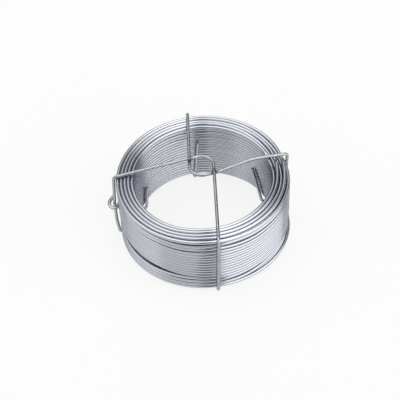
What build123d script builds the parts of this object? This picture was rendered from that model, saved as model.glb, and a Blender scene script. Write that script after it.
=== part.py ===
from build123d import *
from math import atan2, degrees, radians, sqrt, tan
import os

# A hand coil of galvanised binding wire.
# The wire is wound in even layers, and two bent tie wires hold the coil.
# The ties grip it at four places and cross over the bore, where their bends form a hanging ring.
# Millimetres, +Z up. The origin is on the bore's axis, at the level that the coil rests on.
# Azimuths are in degrees from +X, counterclockwise. The front of the coil is towards -Y.

# Winding
wire_diameter = 1.8
turns_per_layer = 20
layer_count = 5
bore_diameter = 70.0
groove_depth = 0.5

# Tie wires
tie_diameter = 1.6
tie_clearance = 0.2
knot_gap = 0.1
easy_bend_radius = 40.0

# Hanging ring, measured to the middle of the wire
ring_radius = 6.3
ring_setback = 5.7
upper_bend_shift_x = -0.4
upper_bend_shift_y = -0.9
upper_shoulder_length = 8.0
right_shoulder_length = 6.5
left_spoke_skew = 12.5
right_spoke_skew = 14.5

# Legs: turns round the coil from the rim to the outer foot, the inner foot and the tail's top, in degrees
left_turns = (5.3, -22.5, -26.5)
front_turns = (-1.4, 0.0, 2.0)
back_turns = (-0.5, -0.8, -5.0)
right_turns = (3.5, 9.8, 24.9)
left_tail_height = 13.8
front_tail_height = 22.0
back_tail_height = 27.3
right_tail_height = 19.0

# Slack of the hand-bent ties
left_leg_bow = 1.1
left_leg_low_bow_share = 0.22
back_rim_slack = 1.1
right_spoke_arch = 2.4
right_spoke_bow = 0.8
right_rim_lift = 0.9

# Free end of the wire, hooked round the left leg
hook_level_share = 0.53
hook_radius = 2.8
hook_bend_share = 0.82
hook_nose_length = 3.0
hook_back_length = 1.8
hook_tail_length = 4.0
hook_tail_lean = 29.0
hook_tail_bend_radius = 4.0
hook_root_layers = 2
hook_root_length = 6.5

# Sizes that follow
wire_radius = wire_diameter / 2
tie_radius = tie_diameter / 2
bore_radius = bore_diameter / 2
coil_radius = bore_radius + layer_count * wire_diameter
coil_height = turns_per_layer * wire_diameter
coil_bottom = tie_diameter + tie_clearance
coil_top = coil_bottom + coil_height
hook_level = coil_bottom + hook_level_share * coil_height

# The corner turns are round: their arc touches the wall's and the end's crests and both nearest grooves
corner_radius = groove_depth + wire_diameter - sqrt(2 * groove_depth * wire_diameter)
corner_inset = corner_radius - corner_radius / sqrt(2)

# The ties' middle lines keep to these levels and distances from the axis
low_level = tie_radius
lower_spoke_level = coil_top + tie_clearance + tie_radius
upper_spoke_level = lower_spoke_level + tie_diameter + knot_gap
outer_radius = coil_radius + tie_clearance + tie_radius
inner_radius = bore_radius - tie_clearance - tie_radius
tie_bend_radius = corner_radius + tie_clearance + tie_radius


def polar(azimuth, radius, height):
    """Point at an azimuth, a distance from the axis and a height."""
    return Vector(radius, 0, height).rotate(Axis.Z, azimuth)


def azimuth_of(point):
    return degrees(atan2(point.Y, point.X))


def at_radius(start, direction, radius):
    """Point where a level line from start along a unit direction is that far from the axis."""
    along = start.dot(direction)
    return start + direction * (sqrt(along**2 + radius**2 - start.dot(start)) - along)


def lifted(point, height):
    return Vector(point.X, point.Y, height)


def row_of_turns(first_groove, pitch, bulge, count):
    """Draw a row of turns as arcs from groove to groove."""
    for number in range(count):
        groove = first_groove + pitch * number
        ThreePointArc(groove, groove + pitch / 2 + bulge, groove + pitch)


def leg_end(rim, turns, tail_height):
    """Outer foot, inner foot and tail's top of the leg that comes down from a rim point."""
    rim_azimuth = azimuth_of(rim)
    outer_foot = polar(rim_azimuth + turns[0], outer_radius, low_level)
    inner_foot = polar(rim_azimuth + turns[1], inner_radius, low_level)
    tail_top = polar(rim_azimuth + turns[2], inner_radius, tail_height)
    return [outer_foot, inner_foot, tail_top]


# Spokes in plan: each tie has two, and both touch the tie's own quarter of the ring
lower_centre = Vector(0, ring_setback)
upper_centre = lower_centre + Vector(upper_bend_shift_x, upper_bend_shift_y)
back_way = Vector(0, 1)
front_way = Vector(0, -1)
right_way = Vector(1, 0).rotate(Axis.Z, right_spoke_skew)
left_way = Vector(-1, 0).rotate(Axis.Z, left_spoke_skew)

back_tangent = lower_centre + Vector(-ring_radius, 0)
right_tangent = lower_centre + Vector(0, -ring_radius).rotate(Axis.Z, right_spoke_skew)
front_tangent = upper_centre + Vector(ring_radius, 0)
left_tangent = upper_centre + Vector(0, ring_radius).rotate(Axis.Z, left_spoke_skew)
lower_corner = back_tangent - back_way * ring_radius * tan(radians(90 + right_spoke_skew) / 2)
upper_corner = front_tangent - front_way * ring_radius * tan(radians(90 + left_spoke_skew) / 2)

back_rim = at_radius(back_tangent, back_way, outer_radius + back_rim_slack)
right_rim = at_radius(right_tangent, right_way, outer_radius)
front_rim = at_radius(front_tangent, front_way, outer_radius)
left_rim = at_radius(left_tangent, left_way, outer_radius)

# The left leg stands off the wall where the hook goes round it
left_feet = leg_end(left_rim, left_turns, left_tail_height)
left_rim_azimuth = azimuth_of(left_rim)
left_bow_radius = outer_radius + left_leg_bow
hook_azimuth = left_rim_azimuth + left_turns[0] * (1 - hook_level_share)
low_bow_azimuth = left_rim_azimuth + left_turns[0] * (1 - left_leg_low_bow_share)
low_bow_level = coil_bottom + left_leg_low_bow_share * coil_height
leg_at_hook = polar(hook_azimuth, left_bow_radius, hook_level)
leg_low_bow = polar(low_bow_azimuth, left_bow_radius, low_bow_level)

# The hook's route, from its root inside the winding to its cut end
outward = Vector(1, 0).rotate(Axis.Z, hook_azimuth)
forward = Vector(0, 1).rotate(Axis.Z, hook_azimuth)
hook_root_radius = coil_radius - hook_root_layers * wire_diameter
hook_root = polar(hook_azimuth, hook_root_radius, hook_level) - forward * hook_root_length
hook_near_corner = leg_at_hook - outward * hook_radius + forward * hook_nose_length
hook_far_corner = leg_at_hook + outward * hook_radius + forward * hook_nose_length
hook_tail_start = leg_at_hook + outward * hook_radius - forward * hook_back_length
hook_tail_way = (-forward).rotate(Axis.Z, -hook_tail_lean)
hook_end = hook_tail_start + hook_tail_way * hook_tail_length
hook_bend_radius = hook_bend_share * hook_radius

# Wire coil: one turned solid whose section shows the turns, with the hooked free end
with BuildPart() as wire_coil:
    with BuildSketch(Plane.XZ):
        with BuildLine():
            up = Vector(0, wire_diameter)
            out = Vector(wire_diameter, 0)
            groove_up = Vector(0, groove_depth)
            groove_out = Vector(groove_depth, 0)
            inset_up = Vector(0, corner_inset)
            inset_out = Vector(corner_inset, 0)
            inner_low = Vector(bore_radius, coil_bottom)
            inner_high = Vector(bore_radius, coil_top)
            outer_low = Vector(coil_radius, coil_bottom)
            outer_high = Vector(coil_radius, coil_top)
            wall_turns = turns_per_layer - 2
            end_turns = layer_count - 2

            row_of_turns(outer_low - groove_out + up, up, groove_out, wall_turns)
            row_of_turns(outer_high - groove_up - out, -out, groove_up, end_turns)
            row_of_turns(inner_high + groove_out - up, -up, -groove_out, wall_turns)
            row_of_turns(inner_low + groove_up + out, out, -groove_up, end_turns)

            ThreePointArc(
                outer_high - groove_out - up, outer_high - inset_out - inset_up, outer_high - groove_up - out
            )
            ThreePointArc(
                inner_high + out - groove_up, inner_high + inset_out - inset_up, inner_high + groove_out - up
            )
            ThreePointArc(
                inner_low + groove_out + up, inner_low + inset_out + inset_up, inner_low + out + groove_up
            )
            ThreePointArc(
                outer_low - out + groove_up, outer_low - inset_out + inset_up, outer_low - groove_out + up
            )
        make_face()
    revolve(axis=Axis.Z)
    with BuildLine() as hook_route:
        FilletPolyline(
            hook_root,
            hook_near_corner,
            hook_far_corner,
            hook_tail_start,
            hook_end,
            radius=[hook_bend_radius, hook_bend_radius, hook_tail_bend_radius],
        )
    with BuildSketch(hook_route.line ^ 0):
        Circle(wire_radius)
    sweep(path=hook_route.line)

# Left and front tie: lies over the other one where they cross
with BuildPart() as left_front_tie:
    front_feet = leg_end(front_rim, front_turns, front_tail_height)
    with BuildLine() as left_front_route:
        FilletPolyline(
            *reversed(left_feet),
            leg_low_bow,
            leg_at_hook,
            lifted(left_rim, lower_spoke_level),
            lifted(left_tangent + left_way * upper_shoulder_length, upper_spoke_level),
            lifted(upper_corner, upper_spoke_level),
            lifted(front_tangent + front_way * upper_shoulder_length, upper_spoke_level),
            lifted(front_rim, lower_spoke_level),
            *front_feet,
            radius=[
                tie_bend_radius,
                tie_bend_radius,
                easy_bend_radius,
                easy_bend_radius,
                tie_bend_radius,
                easy_bend_radius,
                ring_radius,
                easy_bend_radius,
                tie_bend_radius,
                tie_bend_radius,
                tie_bend_radius,
            ],
        )
    with BuildSketch(left_front_route.line ^ 0):
        Circle(tie_radius)
    sweep(path=left_front_route.line)

# Back and right tie: its right spoke arches a little over the winding
with BuildPart() as back_right_tie:
    back_feet = leg_end(back_rim, back_turns, back_tail_height)
    right_feet = leg_end(right_rim, right_turns, right_tail_height)
    right_shoulder = right_tangent + right_way * right_shoulder_length
    right_arch = (right_shoulder + right_rim) / 2 + right_way.rotate(Axis.Z, 90) * right_spoke_bow
    with BuildLine() as back_right_route:
        FilletPolyline(
            *reversed(back_feet),
            lifted(back_rim, lower_spoke_level),
            lifted(lower_corner, lower_spoke_level),
            lifted(right_shoulder, lower_spoke_level),
            lifted(right_arch, lower_spoke_level + right_spoke_arch),
            lifted(right_rim, lower_spoke_level + right_rim_lift),
            *right_feet,
            radius=[
                tie_bend_radius,
                tie_bend_radius,
                tie_bend_radius,
                ring_radius,
                easy_bend_radius,
                easy_bend_radius,
                tie_bend_radius,
                tie_bend_radius,
                tie_bend_radius,
            ],
        )
    with BuildSketch(back_right_route.line ^ 0):
        Circle(tie_radius)
    sweep(path=back_right_route.line)

wire_coil.part.label = "wire_coil"
left_front_tie.part.label = "left_front_tie"
back_right_tie.part.label = "back_right_tie"

os.makedirs("parts", exist_ok=True)
export_step(wire_coil.part, "parts/wire_coil.step")
export_step(left_front_tie.part, "parts/left_front_tie.step")
export_step(back_right_tie.part, "parts/back_right_tie.step")
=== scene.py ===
"""Looks of a coil of galvanised wire that two bent tie wires hold. Metres, +Z up, front towards -Y."""

import math

import bmesh
import bpy
import numpy as np
from mathutils import Matrix, Vector, noise


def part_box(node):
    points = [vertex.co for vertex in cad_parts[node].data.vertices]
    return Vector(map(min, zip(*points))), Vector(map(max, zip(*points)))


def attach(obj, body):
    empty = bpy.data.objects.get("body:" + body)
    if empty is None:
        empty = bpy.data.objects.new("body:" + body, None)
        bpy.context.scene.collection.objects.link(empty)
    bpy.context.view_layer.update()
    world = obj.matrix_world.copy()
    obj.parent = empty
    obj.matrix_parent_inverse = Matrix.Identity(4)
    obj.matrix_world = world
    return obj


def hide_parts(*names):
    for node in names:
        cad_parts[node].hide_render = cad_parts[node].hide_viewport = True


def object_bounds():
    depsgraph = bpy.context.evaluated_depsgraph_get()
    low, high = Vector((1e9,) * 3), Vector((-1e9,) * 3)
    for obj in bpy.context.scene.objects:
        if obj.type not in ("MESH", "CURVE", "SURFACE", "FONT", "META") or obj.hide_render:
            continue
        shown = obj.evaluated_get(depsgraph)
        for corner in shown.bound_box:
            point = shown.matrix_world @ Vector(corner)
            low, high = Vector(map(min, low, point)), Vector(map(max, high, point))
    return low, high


# Winding, with azimuths and arcs in degrees, counterclockwise from +X
FULL_TURNS = 20
OUTER_TURNS = 17
SECOND_TURNS = 19
INNER_TURNS = 19
LAYERS = 5
STEPS_IN_TURN = 72
WIRE_SIDES = 12
SEAM_AZIMUTH = 18.5
CLIMB_ARC = 60.0
DRIFT_ARC = 25.0
CROSSING_ARC = 30.0
SMOOTHING_STEPS = 7
WINDING_SEED = 7

# Gaps of the outermost and innermost layers: turns under the gap, azimuths, size in wire diameters
GAP_FADE = 14.0
OUTER_GAPS = (
    (16, -200.0, -86.0, 0.85),
    (15, -200.0, -86.0, 0.1),
    (14, -172.0, -86.0, 0.6),
    (15, -82.0, 15.0, 0.75),
    (14, -82.0, -30.0, 0.3),
    (16, 20.0, 150.0, 0.3),
    (17, 20.0, 150.0, 0.2),
    (17, -360.0, 0.0, 0.05),
    (17, -70.0, 30.0, 0.25),
    (0, -75.0, 30.0, 0.2),
    (3, -175.0, -110.0, 0.05),
    (2, -175.0, -110.0, 0.35),
    (1, -175.0, -110.0, 0.05),
)
INNER_GAPS = (
    (19, -360.0, 0.0, 0.2),
    (0, -360.0, 0.0, 0.35),
    (17, 40.0, 160.0, 0.1),
    (15, 60.0, 190.0, 0.08),
)

# Fine gaps between all turns of a loose layer: their least sum in wire diameters, and how uneven they are
FINE_SLACK = 0.15
FINE_GAP_POWER = 2
FINE_GAP_SWING = 0.6
FINE_GAP_WAVE = 2.0

# Loose turns at the bottom of the outer wall, with the gap over them in wire diameters
LOOSE_COLUMNS = ("azimuth", "turns under", "spread", "gap", "stand")
LOOSE_TURNS = (
    (-180.0, 4.0, 1.0, 0.6, 0.0001),
    (-155.0, 4.0, 1.0, 1.5, 0.0005),
    (-126.0, 4.0, 1.0, 1.9, 0.0003),
    (-114.0, 3.8, 1.2, 1.5, 0.0001),
    (-104.0, 3.0, 2.5, 1.2, 0.0),
    (-92.0, 3.0, 2.5, 1.0, 0.0),
    (-80.0, 2.2, 1.5, 0.6, 0.0),
    (-65.0, 1.7, 1.0, 0.9, 0.0003),
    (-50.0, 1.2, 1.0, 1.1, 0.0008),
    (-20.0, 1.0, 1.0, 1.6, 0.0012),
    (2.0, 1.0, 1.0, 1.4, 0.0006),
    (12.0, 1.0, 1.0, 0.6, 0.0001),
    (60.0, 2.0, 1.5, 0.4, 0.0),
    (130.0, 4.0, 1.0, 0.4, 0.0),
)
SECOND_GAP = 0.9

# How much higher the top turn of each layer lies than in a tight winding, innermost layer first
LOOSE_HEIGHTS = (0.0005, 0.0005, 0.0005, 0.0004, 0.00025)

# Lifted top turns: azimuths, how far they are lifted and drawn in, and the share of each layer
TOP_LIFTS = (
    (-105.0, -25.0, 0.0004, 0.0005, (1.0, 0.95, 0.82, 0.6, 0.0)),
    (30.0, 150.0, 0.0003, 0.0, (0.6, 0.7, 0.8, 1.2, 1.8)),
)
LIFT_FADE = 40.0
LIFTED_TURNS = 4

# Unevenness
WAVE_CYCLES = (1, 2, 3, 5)
LAYER_DROPS = (0.0001, 0.0, 0.00012, 0.0, 0.0)
RING_WAVE = 0.00012
WIRE_WAVE = 0.00005
TOP_TURN_STAND = 0.00022
TOP_TURN_AZIMUTHS = (-155.0, -100.0)

# Free end: it lies in a slot of the outer layer and then hooks round the left leg
SLOT_TURN = 8
SLOT_AZIMUTHS = (112.0, 187.0)
FREE_END_AZIMUTHS = (90.0, 173.0)
FREE_END_RISE = 36.0
FREE_END_LEVEL_ARC = 40.0
FREE_END_POINTS = 16
HOOK_POINTS = (
    (-0.0435, 0.0008),
    (-0.0446, -0.0024),
    (-0.0461, -0.0036),
    (-0.0478, -0.0027),
    (-0.0489, -0.0006),
    (-0.0487, 0.0014),
    (-0.0478, 0.0032),
    (-0.0468, 0.0048),
)
HOOK_LEVEL = 0.0208
SPLINE_STEPS = 8

# Welds where the ties cross
WELDS = (("left_weld", (-0.0063, 0.00994, 0.03965)), ("right_weld", (0.0059, 0.00072, 0.03965)))
WELD_RADII = (0.00115, 0.00115, 0.00075)
WELD_LUMPS = 0.00025
WELD_LUMP_SIZE = 0.0009
WELD_DIVISIONS = 4

# Materials: each noise has its scale along three axes and its detail
NOISE_RANGE = (0.3, 0.7)
BUMP_STRENGTH = 0.2
MIX_INPUTS = (0, 6, 7)
MIX_OUTPUT = 2

# Bright zinc of the wound wire
ZINC_EDGE = (0.36, 0.39, 0.46, 1)
ZINC_TONES = ((0.53, 0.545, 0.585, 1), (0.60, 0.615, 0.65, 1))
ZINC_TONE_NOISE = ((9, 0, 0), 2.0)
ZINC_DULL = (0.47, 0.49, 0.54, 1)
ZINC_DULL_SHARE = 0.3
ZINC_PATCH_NOISE = ((25, 300, 300), 2.0)
ZINC_ROUGHNESS = (0.12, 0.20)
ZINC_STREAK_NOISE = ((110, 2600, 2600), 4.0)
ZINC_STREAK_DEPTH = 0.00002

# Duller zinc of the ties, with marks round the welds: reach, core and colour of each mark. The brown outer
# mark is heat tint; the black inner mark is partly burn and partly painted shade where the crossing wires
# shade each other
TIE_TONES = ((0.38, 0.385, 0.395, 1), (0.52, 0.525, 0.53, 1))
TIE_PATCH_NOISE = ((500, 500, 500), 4.0)
TIE_ROUGHNESS = (0.26, 0.40)
TIE_GRAIN_NOISE = ((2400, 2400, 2400), 3.0)
TIE_GRAIN_DEPTH = 0.00005
HEAT_AND_SHADE_MARKS = ((0.0034, 0.0010, (0.24, 0.215, 0.20, 1)), (0.0019, 0.0007, (0.035, 0.031, 0.03, 1)))
MARK_RAGGEDNESS = 0.004
MARK_STRENGTH = 0.85

# Burnt metal of the welds
WELD_TONES = ((0.03, 0.027, 0.026, 1), (0.16, 0.14, 0.13, 1))
WELD_NOISE = ((1500, 1500, 1500), 4.0)
WELD_ROUGHNESS = (0.35, 0.65)

# Camera of the photo
CAMERA_TARGET = (0.0, 0.0, 0.0198)
CAMERA_DISTANCE = 0.528
CAMERA_ELEVATION = 48.25
CAMERA_ROLL = 3.13
CAMERA_LENS = 91.8
CAMERA_SENSOR = 36.0
CAMERA_SHIFT = (-0.0098, -0.0013)

# Floor
FLOOR_RADIUS = 4.0
FLOOR_SIDES = 64
FLOOR_COLOUR = (0.12, 0.12, 0.12, 1)
FLOOR_GLOW = 0.83
FLOOR_GLOW_COLOUR = (1, 1, 1, 1)
FLOOR_ROUGHNESS = 0.9

# Sky, and soft boxes: azimuth of the middle, half width, soft edge, and radiances low and high
SKY_LOW = (0.02, 0.022, 0.03, 1)
SKY_HIGH = (0.28, 0.30, 0.36, 1)
SKY_RISE = (0.17, 0.79)
SOFT_BOXES = (
    (-31.0, 44.0, 5.0, 1.65, 1.80),
    (-169.0, 27.0, 8.0, 0.75, 1.35),
    (-121.5, 20.5, 4.0, 0.50, 0.85),
    (140.0, 20.0, 8.0, 0.05, 1.50),
    (84.0, 12.0, 8.0, 0.70, 1.40),
    (22.0, 10.0, 8.0, 0.0, 0.60),
)
TOP_LIGHT = 2.2
TOP_MIDDLE = (0.0, 0.23, 0.0)
TOP_STRETCH = (0.70, 1.0, 0.0)
TOP_REACH = (0.18, 0.36)

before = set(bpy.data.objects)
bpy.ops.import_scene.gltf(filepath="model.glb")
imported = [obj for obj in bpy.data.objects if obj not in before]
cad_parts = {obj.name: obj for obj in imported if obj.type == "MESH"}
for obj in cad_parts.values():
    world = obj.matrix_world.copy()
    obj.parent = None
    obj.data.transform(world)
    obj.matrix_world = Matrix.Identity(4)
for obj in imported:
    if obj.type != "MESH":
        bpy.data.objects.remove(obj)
cad_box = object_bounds()

# The hooked end reaches past the coil in X, so the coil's radius is read along Y
coil_low, coil_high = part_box("wire_coil")
coil_radius = coil_high.y
coil_bottom = coil_low.z
coil_top = coil_high.z
wire_diameter = (coil_top - coil_bottom) / FULL_TURNS
wire_radius = wire_diameter / 2
seam = math.radians(SEAM_AZIMUTH)
grid = seam + np.arange(STEPS_IN_TURN) * 2 * math.pi / STEPS_IN_TURN
grid_degrees = np.degrees(grid)
random = np.random.default_rng(WINDING_SEED)


def ease(x):
    """Smooth step from 0 at 0 to 1 at 1."""
    x = np.clip(x, 0, 1)
    return x * x * (3 - 2 * x)


def window(degrees, start, end, fade=GAP_FADE):
    """1 between two azimuths and 0 elsewhere, with soft edges."""
    if end - start >= 360:
        return np.ones_like(degrees)
    away = np.abs((degrees - (start + end) / 2 + 180) % 360 - 180)
    return 1 - ease((away - (end - start) / 2) / fade + 0.5)


def waves(count, size):
    """Slow seeded waves round the coil, one row for each turn."""
    rows = np.zeros((count, STEPS_IN_TURN))
    for cycles in WAVE_CYCLES:
        strength = random.normal(0, size / math.sqrt(cycles), (count, 1))
        rows += strength * np.sin(cycles * grid + random.uniform(0, 2 * math.pi, (count, 1)))
    return rows


def loose_keys(name):
    """One column of the loose turns at each azimuth of the grid."""
    keys = np.array(LOOSE_TURNS)
    column = LOOSE_COLUMNS.index(name)
    return np.interp(grid_degrees, keys[:, 0], keys[:, column], period=360)


def gap_rows(gaps, count):
    """Sizes of the gaps under each turn of a layer and over the last one, in wire diameters."""
    sizes = np.zeros((count + 1, STEPS_IN_TURN))
    for under, start, end, size in gaps:
        sizes[under] += size * window(grid_degrees, start, end)
    return sizes


def loose_gap(count, under, size):
    """The moving gap over the loose turns at the bottom of a layer."""
    away = np.abs(np.arange(count + 1)[:, None] - under)
    tent = np.clip(1 - away / loose_keys("spread"), 0, None)
    return size * tent / tent.sum(axis=0)


def slack_rows(sizes, slot=0.0):
    """Heights of the turns of a layer that isn't full, bottom one first, at each azimuth of the grid."""
    count = len(sizes) - 1
    slack = FULL_TURNS - count
    room = slack - FINE_SLACK - slot
    sizes = sizes * np.minimum(1, room / sizes.sum(axis=0))
    sizes[SLOT_TURN + 1] += slot
    shares = random.uniform(0, 1, (count - 1, 1)) ** FINE_GAP_POWER
    fine = shares * (1 + FINE_GAP_SWING * np.sin(waves(count - 1, FINE_GAP_WAVE)))
    sizes[1:-1] += (slack - sizes.sum(axis=0)) * fine / fine.sum(axis=0)
    turns = np.arange(count)[:, None]
    return coil_bottom + wire_radius + (turns + np.cumsum(sizes, axis=0)[:-1]) * wire_diameter


def full_rows():
    """Heights of the turns of a full layer, bottom one first."""
    turns = np.arange(FULL_TURNS)[:, None]
    return coil_bottom + wire_radius + turns * wire_diameter + np.zeros(STEPS_IN_TURN)


def side_by_side_rows(layer):
    """Heights of a layer's turns before its looseness and lifts, bottom one first."""
    if layer == 0:
        return slack_rows(gap_rows(INNER_GAPS, INNER_TURNS))
    if layer == LAYERS - 1:
        sizes = gap_rows(OUTER_GAPS, OUTER_TURNS)
        sizes += loose_gap(OUTER_TURNS, loose_keys("turns under"), loose_keys("gap"))
        return slack_rows(sizes, window(grid_degrees, *SLOT_AZIMUTHS))
    if layer == LAYERS - 2:
        under = np.maximum(loose_keys("turns under") - 1, 0)
        return slack_rows(loose_gap(SECOND_TURNS, under, SECOND_GAP))
    return full_rows()


def layer_rows(layer):
    """Heights and distances from the axis of a layer's turns, bottom one first."""
    heights = side_by_side_rows(layer)
    count = len(heights)
    heights[-1] -= LAYER_DROPS[layer] + np.abs(waves(1, RING_WAVE)[0])
    radius = coil_radius - (LAYERS - layer - 0.5) * wire_diameter
    radii = radius + waves(count, WIRE_WAVE)
    heights += LOOSE_HEIGHTS[layer] * np.arange(count)[:, None] / (count - 1)
    for start, end, lift, shift, shares in TOP_LIFTS:
        lifted = window(grid_degrees, start, end, LIFT_FADE) * shares[layer]
        lifted = lifted * np.clip(1 - np.arange(count)[::-1, None] / LIFTED_TURNS, 0, 1)
        heights += lift * lifted
        radii -= shift * lifted
    if layer == LAYERS - 1:
        radii[-1] += TOP_TURN_STAND * window(grid_degrees, *TOP_TURN_AZIMUTHS)
        radii += loose_keys("stand") * np.clip(loose_keys("turns under") - np.arange(count)[:, None], 0, 1)
    return heights, radii


def wound_layer(layer, heights, radii):
    """Azimuths, distances from the axis and heights along one layer. The innermost starts at the top."""
    if layer % 2 == 0:
        heights = heights[::-1]
        radii = radii[::-1]
    turns = len(heights)
    steps = np.arange(turns * STEPS_IN_TURN)
    turned = steps * 360 / STEPS_IN_TURN
    drift = np.linspace(-DRIFT_ARC, DRIFT_ARC, turns - 1)
    climbs = 360 * np.arange(1, turns) + drift
    level = ease((turned[:, None] - climbs) / CLIMB_ARC + 0.5).sum(axis=1)
    turn = np.minimum(level.astype(int), turns - 2)
    share = level - turn
    column = steps % STEPS_IN_TURN
    height = heights[turn, column] * (1 - share) + heights[turn + 1, column] * share
    radius = radii[turn, column] * (1 - share) + radii[turn + 1, column] * share
    if layer > 0:
        radius = radius - wire_diameter * (1 - ease(0.5 + turned / CROSSING_ARC))
    if layer < LAYERS - 1:
        radius = radius + wire_diameter * ease((turned - turned[-1]) / CROSSING_ARC + 0.5)
    return seam + np.radians(turned), radius, height


def smoothed(values):
    """Values with their kinks rounded off."""
    kernel = np.hanning(SMOOTHING_STEPS + 2)[1:-1]
    padded = np.pad(values, SMOOTHING_STEPS // 2, mode="edge")
    return np.convolve(padded, kernel / kernel.sum(), mode="valid")


def polar_points(azimuth, radius, height):
    """Points from azimuths in radians, distances from the axis and heights."""
    return np.column_stack((radius * np.cos(azimuth), radius * np.sin(azimuth), height))


def winding_path(rows):
    """Middle line of the wound wire through all layers."""
    layers = [wound_layer(layer, *rows[layer]) for layer in range(LAYERS)]
    azimuth, radius, height = (np.concatenate(parts) for parts in zip(*layers))
    return polar_points(azimuth, smoothed(radius), smoothed(height))


def spline(points):
    """Points along a smooth curve through the given ones."""
    points = np.asarray(points, float)
    ends = np.vstack((2 * points[0] - points[1], points, 2 * points[-1] - points[-2]))
    t = (np.arange(SPLINE_STEPS) / SPLINE_STEPS)[:, None]
    runs = []
    for before, start, end, after in zip(ends, ends[1:], ends[2:], ends[3:]):
        curve = 2 * start + (end - before) * t + (2 * before - 5 * start + 4 * end - after) * t**2
        runs.append((curve + (3 * start - before - 3 * end + after) * t**3) / 2)
    return np.vstack(runs + [points[-1:]])


def free_end_path(heights):
    """Middle line of the free end: it rises into a slot between two outer turns and hooks round the leg."""
    azimuth = np.linspace(*FREE_END_AZIMUTHS, FREE_END_POINTS)
    sunk = 1 - ease((azimuth - azimuth[0]) / FREE_END_RISE)
    radius = coil_radius - wire_radius - wire_diameter * sunk
    slot = (heights[SLOT_TURN] + heights[SLOT_TURN + 1]) / 2
    level = np.interp(azimuth, grid_degrees, slot, period=360)
    level += (HOOK_LEVEL - level) * ease((azimuth - azimuth[-1]) / FREE_END_LEVEL_ARC + 1)
    root = polar_points(np.radians(azimuth), radius, level)
    hook = [(x, y, HOOK_LEVEL) for x, y in HOOK_POINTS]
    return spline(np.vstack((root, hook)))


def tube(path, radius):
    """Vertices, faces and straightened coordinates of a closed round wire along a path."""
    along = np.gradient(path, axis=0)
    along /= np.linalg.norm(along, axis=1)[:, None]
    across = np.cross(along, (0, 0, 1))
    across /= np.linalg.norm(across, axis=1)[:, None]
    up = np.cross(across, along)
    angle = np.arange(WIRE_SIDES) * 2 * math.pi / WIRE_SIDES
    ring = np.cos(angle)[:, None] * across[:, None] + np.sin(angle)[:, None] * up[:, None]
    vertices = (path[:, None] + radius * ring).reshape(-1, 3)
    length = np.concatenate(([0], np.cumsum(np.linalg.norm(np.diff(path, axis=0), axis=1))))
    straight = np.empty((len(path), WIRE_SIDES, 3))
    straight[..., 0] = length[:, None]
    straight[..., 1] = radius * np.cos(angle)
    straight[..., 2] = radius * np.sin(angle)
    row = np.arange(len(path) - 1)[:, None] * WIRE_SIDES
    side = np.arange(WIRE_SIDES)
    beside = (side + 1) % WIRE_SIDES
    corners = (row + side, row + side + WIRE_SIDES, row + beside + WIRE_SIDES, row + beside)
    quads = np.stack(corners, axis=-1)
    first = list(range(WIRE_SIDES))
    last = [len(vertices) - 1 - number for number in first]
    faces = [first, last] + quads.reshape(-1, 4).tolist()
    return vertices, faces, straight.reshape(-1, 3)


def add_piece(name, mesh, material):
    """Add a piece that rides on the root. Only the flat ends of wires aren't shaded smooth."""
    mesh.polygons.foreach_set("use_smooth", [face.loop_total < WIRE_SIDES for face in mesh.polygons])
    mesh.materials.append(material)
    piece = bpy.data.objects.new(name, mesh)
    bpy.context.scene.collection.objects.link(piece)
    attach(piece, "root")
    return piece


def add_wires(name, paths, radius, material):
    """One piece of round wires. Its wire_space attribute is each point's place on the straightened wire."""
    vertices = []
    faces = []
    straight = []
    count = 0
    for path in paths:
        tube_vertices, tube_faces, tube_straight = tube(path, radius)
        vertices.append(tube_vertices)
        straight.append(tube_straight)
        faces += [[count + number for number in face] for face in tube_faces]
        count += len(tube_vertices)
    mesh = bpy.data.meshes.new(name)
    mesh.from_pydata(np.vstack(vertices).tolist(), [], faces)
    attribute = mesh.attributes.new("wire_space", "FLOAT_VECTOR", "POINT")
    attribute.data.foreach_set("vector", np.vstack(straight).ravel())
    return add_piece(name, mesh, material)


def new_material(name):
    """A new material and its shader."""
    material = bpy.data.materials.new(name)
    material.use_nodes = True
    shader = material.node_tree.nodes["Principled BSDF"]
    return material, shader


def add_node(tree, kind, inputs, **settings):
    """Add a node. An input that is a socket is linked, and any other is set."""
    node = tree.nodes.new(kind)
    for key, value in settings.items():
        setattr(node, key, value)
    for key, value in inputs.items():
        if isinstance(value, bpy.types.NodeSocket):
            tree.links.new(value, node.inputs[key])
        else:
            node.inputs[key].default_value = value
    return node


def scaled_noise(tree, vector, scale, detail):
    """Noise with its own scale along each axis."""
    mapped = add_node(tree, "ShaderNodeMapping", {"Vector": vector, "Scale": scale}).outputs["Vector"]
    made = add_node(tree, "ShaderNodeTexNoise", {"Vector": mapped, "Scale": 1.0, "Detail": detail})
    return made.outputs["Fac"]


def ranged(tree, value, low, high, from_low=NOISE_RANGE[0], from_high=NOISE_RANGE[1]):
    """A value moved from one range, by default that of noise, to another, and clamped."""
    ranges = {"From Min": from_low, "From Max": from_high, "To Min": low, "To Max": high}
    return add_node(tree, "ShaderNodeMapRange", {"Value": value, **ranges}).outputs["Result"]


def mixed(tree, factor, first, second):
    """A mix of two colours. The sockets go by number, because a Mix node repeats their names."""
    inputs = dict(zip(MIX_INPUTS, (factor, first, second)))
    return add_node(tree, "ShaderNodeMix", inputs, data_type="RGBA").outputs[MIX_OUTPUT]


def calculated(tree, operation, *inputs):
    """The result of a Math node."""
    return add_node(tree, "ShaderNodeMath", dict(enumerate(inputs)), operation=operation).outputs["Value"]


def vector_math(tree, operation, result, *inputs):
    """The named result of a Vector Math node."""
    made = add_node(tree, "ShaderNodeVectorMath", dict(enumerate(inputs)), operation=operation)
    return made.outputs[result]


def set_metal(tree, shader, colour, roughness):
    """Make a shader a metal with the colour and roughness of two sockets."""
    tree.links.new(colour, shader.inputs["Base Color"])
    tree.links.new(roughness, shader.inputs["Roughness"])
    shader.inputs["Metallic"].default_value = 1.0


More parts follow.
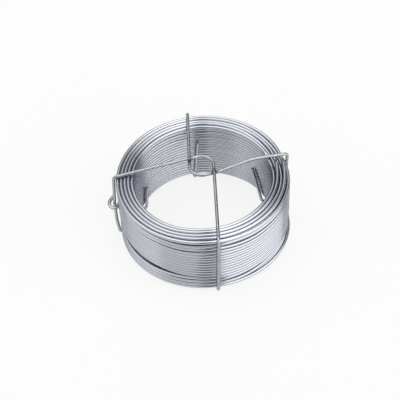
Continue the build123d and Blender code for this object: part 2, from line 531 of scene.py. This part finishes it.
def add_bump(tree, shader, height, depth):
    """Give a shader fine relief."""
    inputs = {"Height": height, "Strength": BUMP_STRENGTH, "Distance": depth}
    bump = add_node(tree, "ShaderNodeBump", inputs)
    tree.links.new(bump.outputs["Normal"], shader.inputs["Normal"])


def make_zinc():
    """Drawn wire with bright zinc: long tone changes, fine streaks along the wire and dull patches."""
    material, shader = new_material("bright_zinc")
    tree = material.node_tree
    place = add_node(tree, "ShaderNodeAttribute", {}, attribute_name="wire_space").outputs["Vector"]
    tone = scaled_noise(tree, place, *ZINC_TONE_NOISE)
    streaks = scaled_noise(tree, place, *ZINC_STREAK_NOISE)
    patches = scaled_noise(tree, place, *ZINC_PATCH_NOISE)
    base = mixed(tree, ranged(tree, tone, 0, 1), *ZINC_TONES)
    patched = mixed(tree, ranged(tree, patches, 0, ZINC_DULL_SHARE), base, ZINC_DULL)
    set_metal(tree, shader, patched, ranged(tree, patches, *ZINC_ROUGHNESS))
    add_bump(tree, shader, streaks, ZINC_STREAK_DEPTH)
    shader.inputs["Specular Tint"].default_value = ZINC_EDGE
    return material


def make_tie_zinc():
    """Softer tie wire: duller zinc with brown heat marks round the welds, and black marks there that are
    partly burn and partly painted shade of the crossing wires.
    """
    material, shader = new_material("tie_zinc")
    tree = material.node_tree
    place = add_node(tree, "ShaderNodeTexCoord", {}).outputs["Object"]
    patches = scaled_noise(tree, place, *TIE_PATCH_NOISE)
    grain = scaled_noise(tree, place, *TIE_GRAIN_NOISE)
    colour = mixed(tree, ranged(tree, patches, 0, 1), *TIE_TONES)
    shift = MARK_RAGGEDNESS / 2
    # Brown marks are heat tint; the black mark is partly burn and partly painted shade where one wire
    # shades the other
    for reach, core, mark_colour in HEAT_AND_SHADE_MARKS:
        for _, knot in WELDS:
            away = vector_math(tree, "DISTANCE", "Value", place, knot)
            ragged = calculated(tree, "MULTIPLY_ADD", patches, MARK_RAGGEDNESS, away)
            mark_share = ranged(tree, ragged, MARK_STRENGTH, 0.0, core + shift, reach + shift)
            colour = mixed(tree, mark_share, colour, mark_colour)
    set_metal(tree, shader, colour, ranged(tree, patches, *TIE_ROUGHNESS))
    add_bump(tree, shader, grain, TIE_GRAIN_DEPTH)
    shader.inputs["Specular Tint"].default_value = ZINC_EDGE
    return material


def make_weld_metal():
    """Burnt metal of the welds, dark brown to black."""
    material, shader = new_material("weld_metal")
    tree = material.node_tree
    place = add_node(tree, "ShaderNodeTexCoord", {}).outputs["Object"]
    scale = scaled_noise(tree, place, *WELD_NOISE)
    colour = mixed(tree, ranged(tree, scale, 0, 1), *WELD_TONES)
    set_metal(tree, shader, colour, ranged(tree, scale, *WELD_ROUGHNESS))
    return material


def add_weld(name, knot, material):
    """Lumpy bead of squeezed metal between two crossing wires."""
    form = bmesh.new()
    bmesh.ops.create_icosphere(form, subdivisions=WELD_DIVISIONS, radius=1)
    for vertex in form.verts:
        way = vertex.co.copy()
        point = Vector(knot) + Vector(size * share for size, share in zip(WELD_RADII, way))
        vertex.co = point + way * WELD_LUMPS * noise.noise(point / WELD_LUMP_SIZE)
    mesh = bpy.data.meshes.new(name)
    form.to_mesh(mesh)
    form.free()
    add_piece(name, mesh, material)


def add_floor():
    """Pale floor: it glows for the camera and in reflections, and its own colour takes the shadow."""
    material, shader = new_material("pale_floor")
    tree = material.node_tree
    rays = add_node(tree, "ShaderNodeLightPath", {}).outputs
    seen = calculated(tree, "ADD", rays["Is Camera Ray"], rays["Is Glossy Ray"])
    seen = calculated(tree, "ADD", seen, rays["Is Transmission Ray"])
    tree.links.new(calculated(tree, "MULTIPLY", seen, FLOOR_GLOW), shader.inputs["Emission Strength"])
    shader.inputs["Emission Color"].default_value = FLOOR_GLOW_COLOUR
    shader.inputs["Base Color"].default_value = FLOOR_COLOUR
    shader.inputs["Roughness"].default_value = FLOOR_ROUGHNESS
    material.cycles.emission_sampling = "NONE"
    mesh = bpy.data.meshes.new("floor")
    angle = np.arange(FLOOR_SIDES) * 2 * math.pi / FLOOR_SIDES
    rim = polar_points(angle, FLOOR_RADIUS, np.zeros(FLOOR_SIDES))
    mesh.from_pydata(rim.tolist(), [], [list(range(FLOOR_SIDES))])
    mesh.materials.append(material)
    floor = bpy.data.objects.new("floor", mesh)
    floor.location.z = cad_box[0].z
    bpy.context.scene.collection.objects.link(floor)


def grey(value):
    """A colour without hue."""
    return (value, value, value, 1)


def add_world():
    """Dark sky with soft boxes round the coil and a broad light overhead."""
    world = bpy.data.worlds.new("studio")
    world.use_nodes = True
    tree = world.node_tree
    way = add_node(tree, "ShaderNodeTexCoord", {}).outputs["Generated"]
    height = add_node(tree, "ShaderNodeSeparateXYZ", {"Vector": way}).outputs["Z"]
    flat = vector_math(tree, "MULTIPLY", "Vector", way, (1, 1, 0))
    level = vector_math(tree, "NORMALIZE", "Vector", flat)
    rise = ranged(tree, height, 0, 1, *SKY_RISE)
    sky = mixed(tree, rise, SKY_LOW, SKY_HIGH)
    for azimuth, half_width, edge, low, high in SOFT_BOXES:
        turn = math.radians(azimuth)
        facing = vector_math(tree, "DOT_PRODUCT", "Value", level, (math.cos(turn), math.sin(turn), 0))
        outer = math.cos(math.radians(half_width + edge))
        inner = math.cos(math.radians(half_width - edge))
        light = mixed(tree, rise, grey(low), grey(high))
        sky = mixed(tree, ranged(tree, facing, 0, 1, outer, inner), sky, light)
    moved = vector_math(tree, "SUBTRACT", "Vector", way, TOP_MIDDLE)
    stretched = vector_math(tree, "MULTIPLY", "Vector", moved, TOP_STRETCH)
    off_top = vector_math(tree, "LENGTH", "Value", stretched)
    sky = mixed(tree, ranged(tree, off_top, 1, 0, *TOP_REACH), sky, grey(TOP_LIGHT))
    tree.links.new(sky, tree.nodes["Background"].inputs["Color"])
    bpy.context.scene.world = world


def add_camera():
    """Camera in front of the coil, tilted down and rolled as in the photo."""
    data = bpy.data.cameras.new("camera")
    data.lens = CAMERA_LENS
    data.sensor_width = CAMERA_SENSOR
    data.shift_x, data.shift_y = CAMERA_SHIFT
    elevation = math.radians(CAMERA_ELEVATION)
    roll = math.radians(CAMERA_ROLL)
    back = Vector((0, -math.cos(elevation), math.sin(elevation)))
    right = Vector((1, 0, 0))
    up = back.cross(right)
    across = right * math.cos(roll) - up * math.sin(roll)
    upward = right * math.sin(roll) + up * math.cos(roll)
    place = Vector(CAMERA_TARGET) + back * CAMERA_DISTANCE
    turned = Matrix((across, upward, back)).transposed().to_4x4()
    camera = bpy.data.objects.new("camera", data)
    camera.matrix_world = Matrix.Translation(place) @ turned
    bpy.context.scene.collection.objects.link(camera)
    bpy.context.scene.camera = camera


bpy.context.scene.view_settings.view_transform = "Standard"
add_camera()
add_floor()
add_world()

rows = [layer_rows(layer) for layer in range(LAYERS)]
paths = (winding_path(rows), free_end_path(rows[-1][0]))
winding = add_wires("wound_wire", paths, wire_radius, make_zinc())
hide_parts("wire_coil")

tie_zinc = make_tie_zinc()
for name in ("left_front_tie", "back_right_tie"):
    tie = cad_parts[name]
    for place in tie.material_slots:
        place.material = tie_zinc

weld_metal = make_weld_metal()
for name, knot in WELDS:
    add_weld(name, knot, weld_metal)
